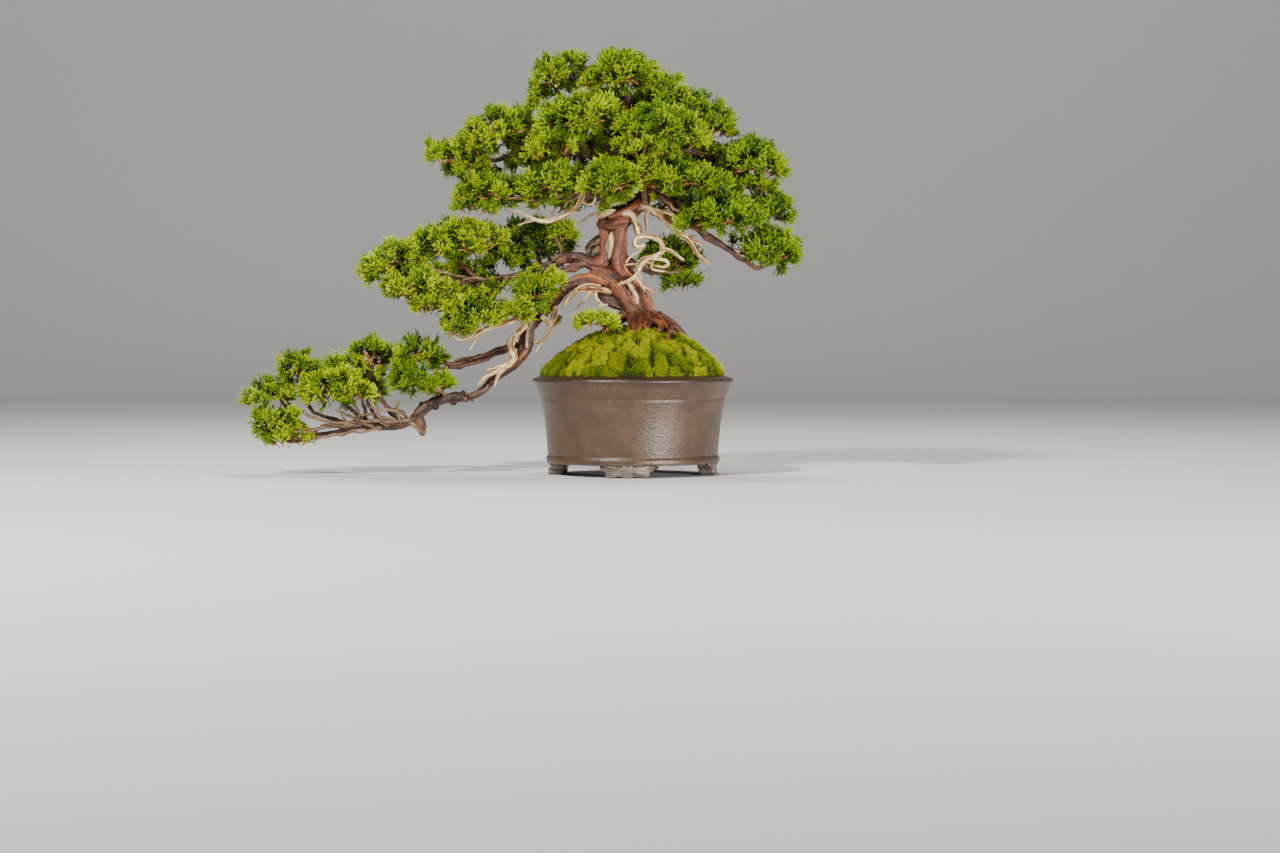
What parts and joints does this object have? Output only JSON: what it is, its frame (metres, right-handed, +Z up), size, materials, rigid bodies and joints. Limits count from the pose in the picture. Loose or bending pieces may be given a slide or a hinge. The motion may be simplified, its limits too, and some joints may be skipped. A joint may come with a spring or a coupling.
{
  "type": "potted bonsai tree",
  "caption": "Semi-cascade juniper bonsai with twisted trunk, bleached deadwood and clouds of scale foliage, standing in a mossy mound of soil in a round footed stoneware pot.",
  "frame": {"origin": "centre of the bounding box, at the height of the pot's feet", "axes": "+Z up, -Y the front, +X to the right; the long branches reach towards -X"},
  "size_m": [0.7552, 0.2916, 0.5715],
  "materials": {
    "stoneware": "satin",
    "screen": "matte",
    "soil": "matte",
    "moss": "matte",
    "bark": "matte",
    "deadwood": "matte",
    "wire": "satin",
    "foliage": "satin"
  },
  "bodies": {
    "root": {"pot": "stoneware", "drain_screen": "screen", "soil": "soil", "moss_1": "moss", "moss_2": "moss", "moss_3": "moss", "moss_4": "moss", "moss_5": "moss", "trunk_and_branches": "bark", "jin_curled": "deadwood", "jin_right": "deadwood", "jin_left": "deadwood", "jin_cascade": "deadwood", "jin_forked": "deadwood", "jin_hanging": "deadwood", "jin_small": "deadwood", "deadwood_band": "deadwood", "wire_upper_branch": "wire", "wire_cascade": "wire", "foliage_crown_peak": "foliage", "foliage_crown_peak_left": "foliage", "foliage_crown_peak_right": "foliage", "foliage_crown_front_left": "foliage", "foliage_crown_front_middle": "foliage", "foliage_crown_left_high": "foliage", "foliage_crown_left_tip": "foliage", "foliage_crown_left_low": "foliage", "foliage_crown_left_inner": "foliage", "foliage_crown_low_front": "foliage", "foliage_crown_low_right": "foliage", "foliage_crown_right_high": "foliage", "foliage_crown_right_low": "foliage", "foliage_crown_right_tip": "foliage", "foliage_crown_right_fall": "foliage", "foliage_crown_back_left": "foliage", "foliage_crown_back_right": "foliage", "foliage_crown_back_far_left": "foliage", "foliage_crown_back_middle": "foliage", "foliage_crown_back_far_right": "foliage", "foliage_crown_back_low_left": "foliage", "foliage_crown_back_low_right": "foliage", "foliage_low_back_right": "foliage", "foliage_middle_tip": "foliage", "foliage_middle_high": "foliage", "foliage_middle_back": "foliage", "foliage_middle_low": "foliage", "foliage_middle_under": "foliage", "foliage_middle_front": "foliage", "foliage_middle_back_low": "foliage", "foliage_middle_sprig": "foliage", "foliage_base_sprig": "foliage", "foliage_low_tip_high": "foliage", "foliage_low_tip": "foliage", "foliage_low_crest_tip": "foliage", "foliage_low_front": "foliage", "foliage_low_crest": "foliage", "foliage_low_inner_high": "foliage", "foliage_low_inner": "foliage", "foliage_low_back": "foliage"}
  },
  "joints": []
}
